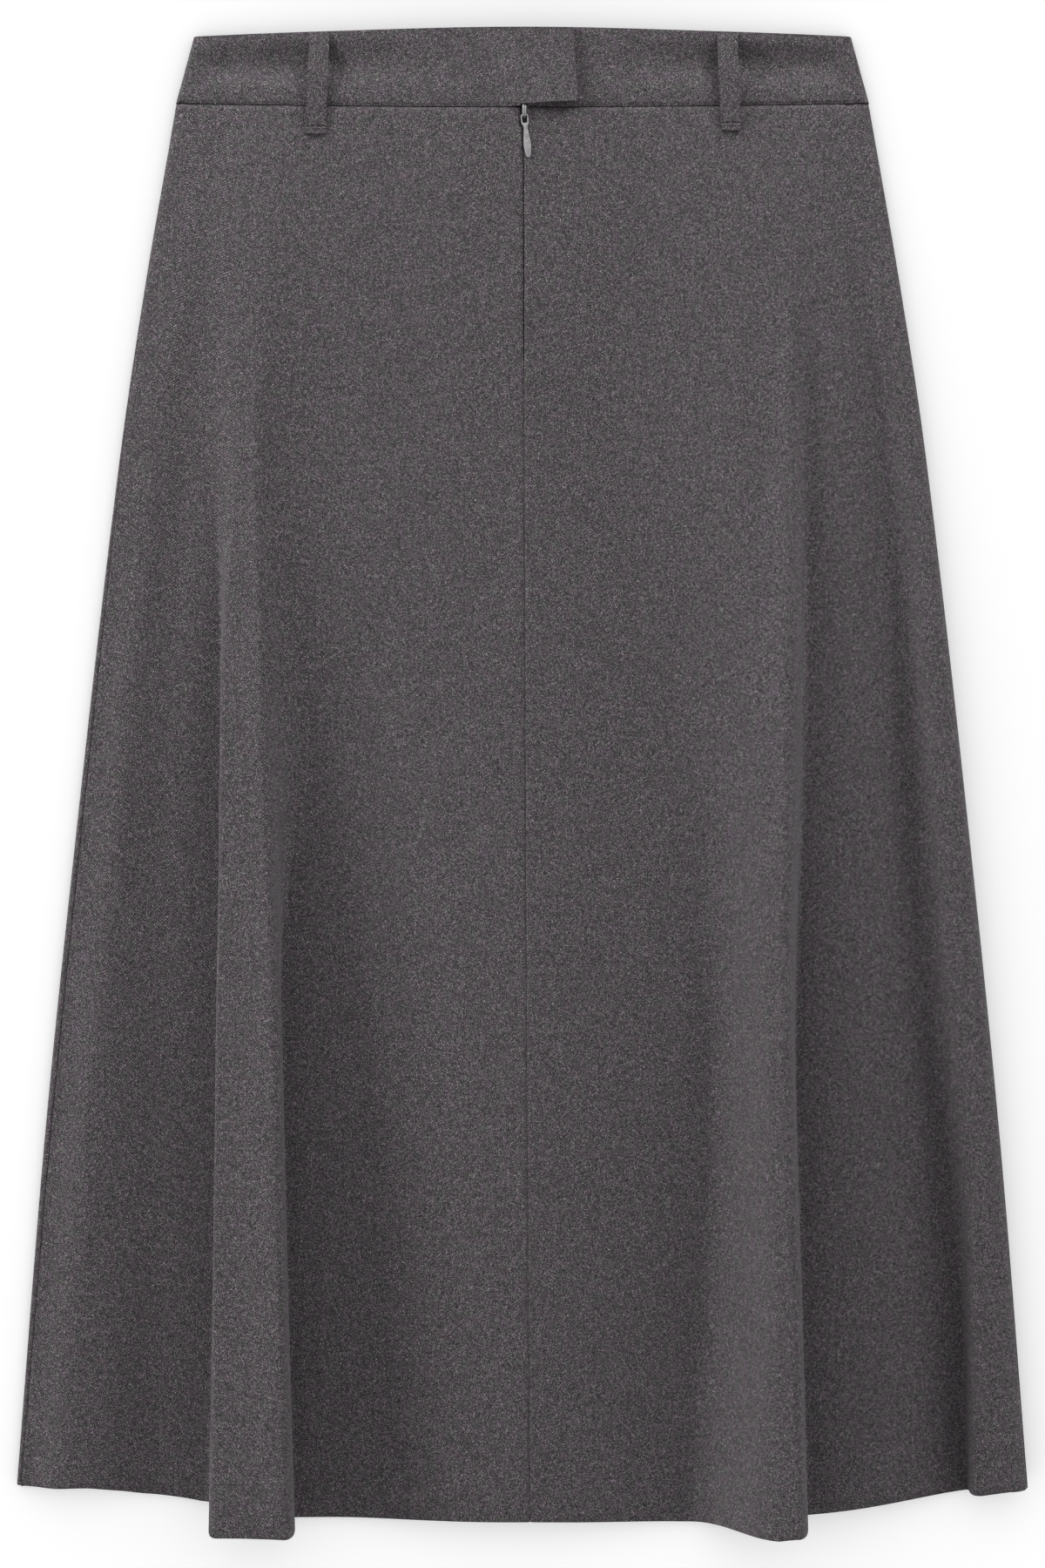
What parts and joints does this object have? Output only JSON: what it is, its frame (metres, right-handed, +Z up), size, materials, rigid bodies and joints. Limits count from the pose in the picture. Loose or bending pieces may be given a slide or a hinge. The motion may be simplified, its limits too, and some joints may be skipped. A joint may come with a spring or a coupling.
{
  "type": "a-line skirt",
  "caption": "Midi-length a-line skirt laid flat with its back up: shaped waistband with tab and belt loops, centre back zip, soft folds that open at the hem.",
  "frame": {"origin": "middle of the skirt's footprint on the surface it lies on", "axes": "+Y from the hem to the waist, +Z up from the surface through the front layer to the back layer, +X to the viewer's right when the back is seen from above"},
  "size_m": [0.5655, 0.834, 0.0513],
  "materials": {
    "wool_twill": "charcoal heather wool twill, soft and matt",
    "zip_tape": "dark woven tape",
    "slider_metal": "grey painted zinc",
    "pull_enamel": "grey enamel on zinc"
  },
  "bodies": {
    "skirt": {"front_panel": "wool_twill", "back_panel_left": "wool_twill", "back_panel_right": "wool_twill", "waistband_front": "wool_twill", "waistband_left": "wool_twill", "waistband_right": "wool_twill", "belt_loop_left": "wool_twill", "belt_loop_right": "wool_twill", "zip_tape": "zip_tape", "zip_slider": "slider_metal"},
    "pull": {"zip_pull": "pull_enamel"}
  },
  "joints": [
    {"name": "zip_pull_hinge", "type": "hinge", "parent": "skirt", "child": "pull", "pos_m": [0.0005, 0.3683, 0.01584], "axis": [-1, 0, 0], "range_deg": [0, 140]}
  ]
}
